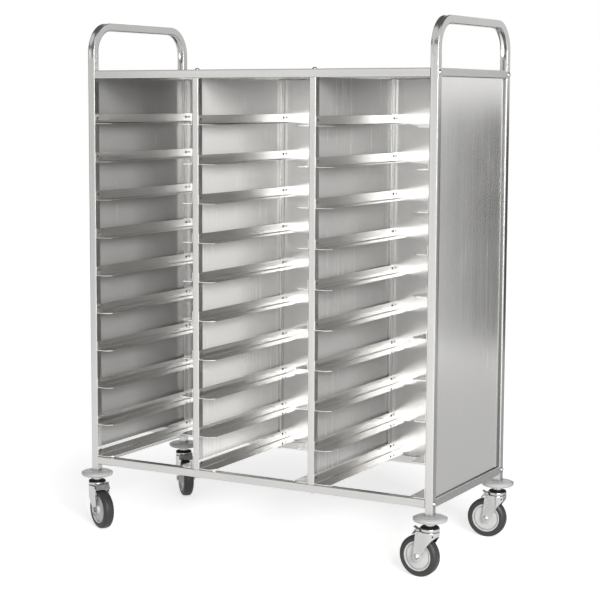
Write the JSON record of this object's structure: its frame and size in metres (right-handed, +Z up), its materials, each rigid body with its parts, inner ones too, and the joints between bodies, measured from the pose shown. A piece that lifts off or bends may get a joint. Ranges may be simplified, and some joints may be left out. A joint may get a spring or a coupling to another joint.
{
  "type": "tray trolley",
  "caption": "Stainless tray trolley on braked swivel castors: bent-tube end frames with push handles, closed sides, back and top, and rows of folded tray runners open to the front.",
  "frame": {"origin": "on the floor, under the middle of the frame", "axes": "+X along the front to the right, +Y to the closed back, +Z up"},
  "size_m": [1.284, 0.6318, 1.627],
  "materials": {
    "tube_steel": "satin, ground along the tube",
    "panel_steel": "fine vertical grind",
    "runner_steel": "fine grind along the runner",
    "bright_steel": "polished",
    "plated_steel": "bright zinc plate",
    "pedal_steel": "zinc plate, worn on top",
    "bumper_plastic": "smooth light grey",
    "seal_plastic": "black, satin",
    "hub_plastic": "pale grey, satin",
    "tyre_rubber": "dark grey solid rubber"
  },
  "bodies": {
    "frame": {"left_loop": "tube_steel", "right_loop": "tube_steel", "left_top_side_rail": "tube_steel", "left_bottom_side_rail": "tube_steel", "right_top_side_rail": "tube_steel", "right_bottom_side_rail": "tube_steel", "top_front_rail": "tube_steel", "top_rear_rail": "tube_steel", "bottom_front_rail": "tube_steel", "bottom_rear_rail": "tube_steel", "left_front_upright": "tube_steel", "left_rear_upright": "tube_steel", "right_front_upright": "tube_steel", "right_rear_upright": "tube_steel", "left_side_panel": "panel_steel", "right_side_panel": "panel_steel", "back_panel": "panel_steel", "top_panel": "panel_steel", "left_divider_panel": "panel_steel", "right_divider_panel": "panel_steel", "left_bay_left_runners": "runner_steel", "left_bay_right_runners": "runner_steel", "middle_bay_left_runners": "runner_steel", "middle_bay_right_runners": "runner_steel", "right_bay_left_runners": "runner_steel", "right_bay_right_runners": "runner_steel", "runner_screws": "bright_steel", "frame_bolts": "bright_steel", "rail_plugs": "plated_steel", "upright_plugs": "plated_steel", "corner_bumpers": "bumper_plastic", "castor_stems": "plated_steel", "swivel_races": "bright_steel", "stem_seals": "seal_plastic"},
    "right_front_castor": {"right_front_fork": "plated_steel", "right_front_axle_bolt": "bright_steel", "right_front_axle_nut": "bright_steel"},
    "right_front_wheel": {"right_front_wheel_hub": "hub_plastic", "right_front_tyre": "tyre_rubber"},
    "right_front_pedal": {"right_front_brake_pedal": "pedal_steel"},
    "right_rear_castor": {"right_rear_fork": "plated_steel", "right_rear_axle_bolt": "bright_steel", "right_rear_axle_nut": "bright_steel"},
    "right_rear_wheel": {"right_rear_wheel_hub": "hub_plastic", "right_rear_tyre": "tyre_rubber"},
    "right_rear_pedal": {"right_rear_brake_pedal": "pedal_steel"},
    "left_front_castor": {"left_front_fork": "plated_steel", "left_front_axle_bolt": "bright_steel", "left_front_axle_nut": "bright_steel"},
    "left_front_wheel": {"left_front_wheel_hub": "hub_plastic", "left_front_tyre": "tyre_rubber"},
    "left_front_pedal": {"left_front_brake_pedal": "pedal_steel"},
    "left_rear_castor": {"left_rear_fork": "plated_steel", "left_rear_axle_bolt": "bright_steel", "left_rear_axle_nut": "bright_steel"},
    "left_rear_wheel": {"left_rear_wheel_hub": "hub_plastic", "left_rear_tyre": "tyre_rubber"},
    "left_rear_pedal": {"left_rear_brake_pedal": "pedal_steel"}
  },
  "joints": [
    {"name": "right_front_swivel", "type": "hinge", "parent": "frame", "child": "right_front_castor", "pos_m": [0.5915, -0.2615, 0.1395], "axis": [0, 0, 1], "continuous": true},
    {"name": "right_front_roll", "type": "hinge", "parent": "right_front_castor", "child": "right_front_wheel", "pos_m": [0.55863, -0.25862, 0.0625], "axis": [-0.0872, -0.9962, 0], "continuous": true},
    {"name": "right_front_brake", "type": "hinge", "parent": "right_front_castor", "child": "right_front_pedal", "pos_m": [0.5646, -0.25915, 0.132], "axis": [-0.0872, -0.9962, 0], "range_deg": [0, 10]},
    {"name": "right_rear_swivel", "type": "hinge", "parent": "frame", "child": "right_rear_castor", "pos_m": [0.5915, 0.2615, 0.1395], "axis": [0, 0, 1], "continuous": true},
    {"name": "right_rear_roll", "type": "hinge", "parent": "right_rear_castor", "child": "right_rear_wheel", "pos_m": [0.55858, 0.2592, 0.0625], "axis": [0.0698, -0.9976, 0], "continuous": true},
    {"name": "right_rear_brake", "type": "hinge", "parent": "right_rear_castor", "child": "right_rear_pedal", "pos_m": [0.56457, 0.25962, 0.132], "axis": [0.0698, -0.9976, 0], "range_deg": [0, 10]},
    {"name": "left_front_swivel", "type": "hinge", "parent": "frame", "child": "left_front_castor", "pos_m": [-0.5915, -0.2615, 0.1395], "axis": [0, 0, 1], "continuous": true},
    {"name": "left_front_roll", "type": "hinge", "parent": "left_front_castor", "child": "left_front_wheel", "pos_m": [-0.5625, -0.27725, 0.0625], "axis": [0.4772, 0.8788, 0], "continuous": true},
    {"name": "left_front_brake", "type": "hinge", "parent": "left_front_castor", "child": "left_front_pedal", "pos_m": [-0.56777, -0.27438, 0.132], "axis": [0.4772, 0.8788, 0], "range_deg": [0, 10]},
    {"name": "left_rear_swivel", "type": "hinge", "parent": "frame", "child": "left_rear_castor", "pos_m": [-0.5915, 0.2615, 0.1395], "axis": [0, 0, 1], "continuous": true},
    {"name": "left_rear_roll", "type": "hinge", "parent": "left_rear_castor", "child": "left_rear_wheel", "pos_m": [-0.56817, 0.23816, 0.0625], "axis": [0.7071, 0.7071, 0], "continuous": true},
    {"name": "left_rear_brake", "type": "hinge", "parent": "left_rear_castor", "child": "left_rear_pedal", "pos_m": [-0.57241, 0.24241, 0.132], "axis": [0.7071, 0.7071, 0], "range_deg": [0, 10]}
  ]
}
